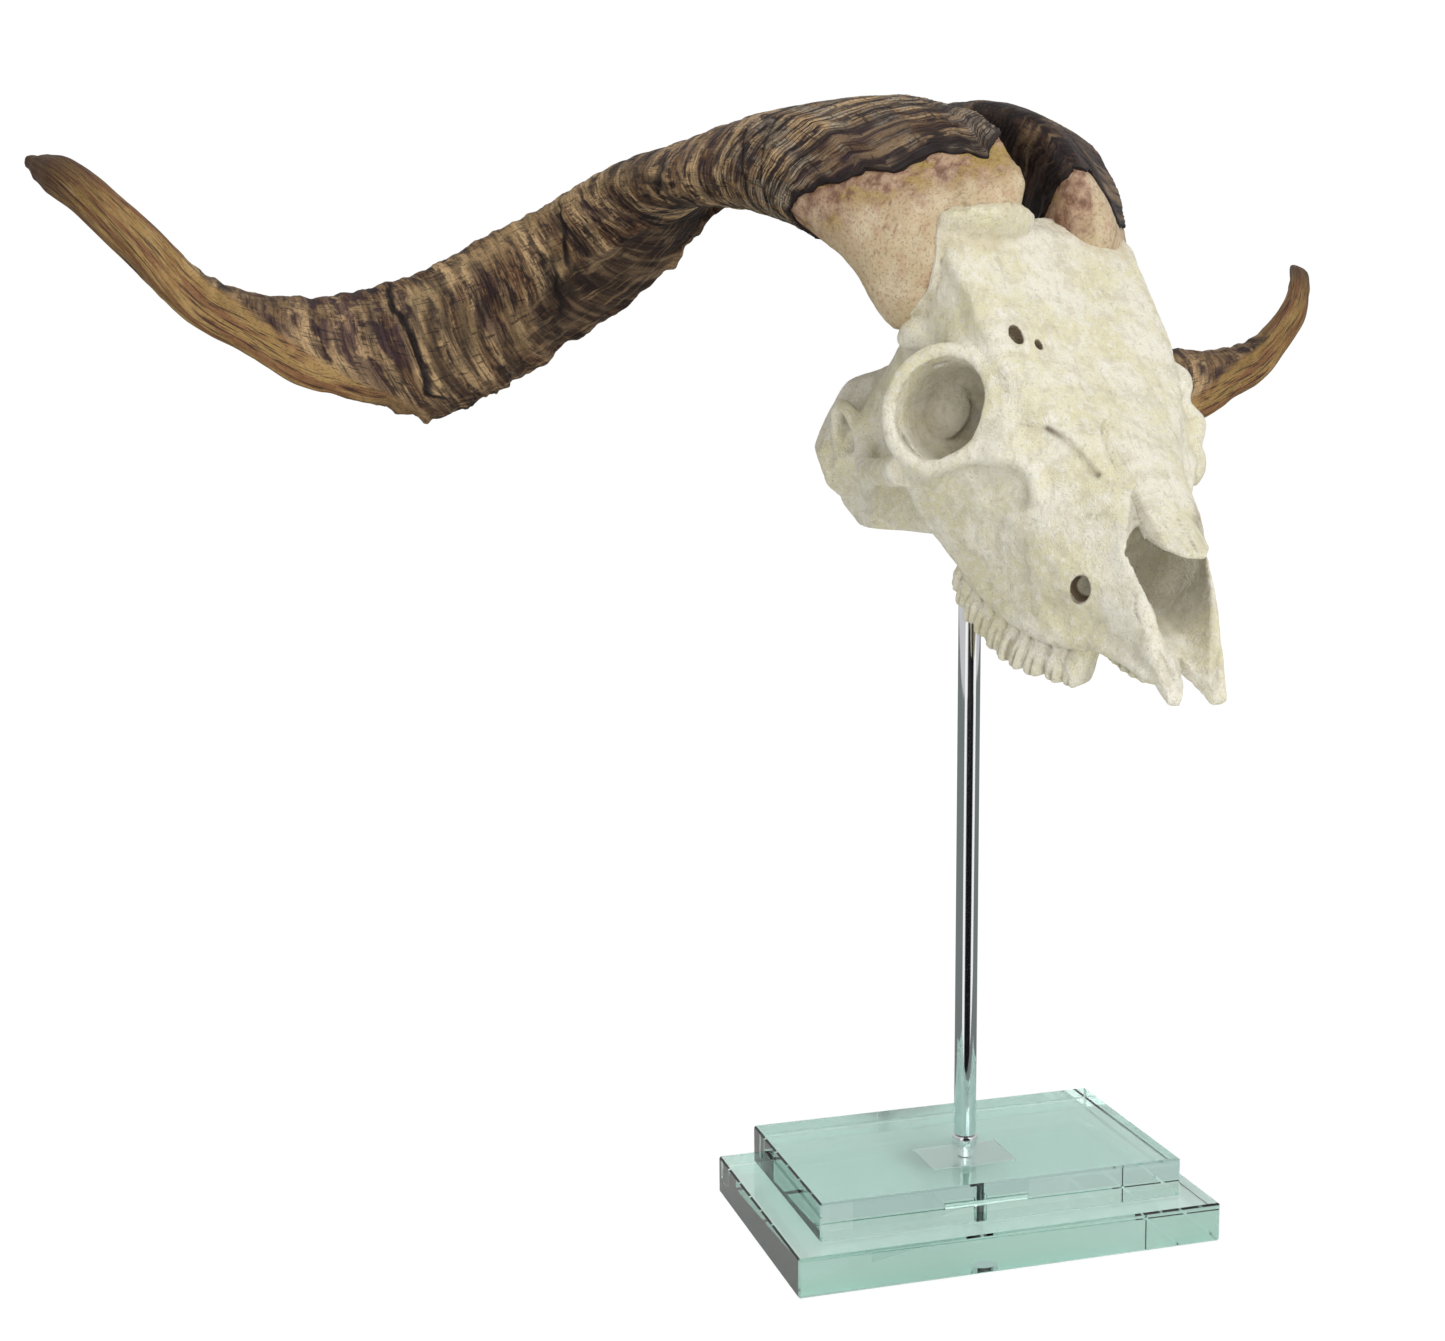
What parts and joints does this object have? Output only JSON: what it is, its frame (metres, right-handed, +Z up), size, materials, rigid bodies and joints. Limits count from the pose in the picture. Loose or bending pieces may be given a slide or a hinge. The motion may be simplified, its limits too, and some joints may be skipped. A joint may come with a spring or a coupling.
{
  "type": "cast goat skull display model",
  "caption": "Life-size cast of a billy goat's skull with wide sweeping horns, looking down its nose, on a chromed rod that rises from a stepped glass base.",
  "frame": {"origin": "middle of the underside of the lower glass, where the stand rests", "axes": "+X along the long side of the base, to the left horn's side; +Y behind the skull; the skull looks towards -Y; +Z up"},
  "size_m": [0.7193, 0.439, 0.5137],
  "materials": {
    "bone": "cast resin painted as weathered bone",
    "horn_core": "cast resin painted as a porous pink horn core",
    "horn": "cast resin painted as ridged brown horn",
    "glass": "clear float glass with polished edges",
    "dark_steel": "plain steel seen through the glass",
    "chrome": "bright chrome plating"
  },
  "bodies": {
    "root": {"skull_cranium": "bone", "skull_face": "bone", "skull_premaxilla_right": "bone", "skull_premaxilla_left": "bone", "skull_nasal_right": "bone", "skull_nasal_left": "bone", "horn_core_right": "horn_core", "horn_core_left": "horn_core", "horn_right": "horn", "horn_left": "horn", "stand_base_lower": "glass", "stand_base_upper": "glass", "stand_plate": "dark_steel", "stand_bolt": "dark_steel", "stand_collar": "chrome", "stand_rod": "chrome"}
  },
  "joints": []
}
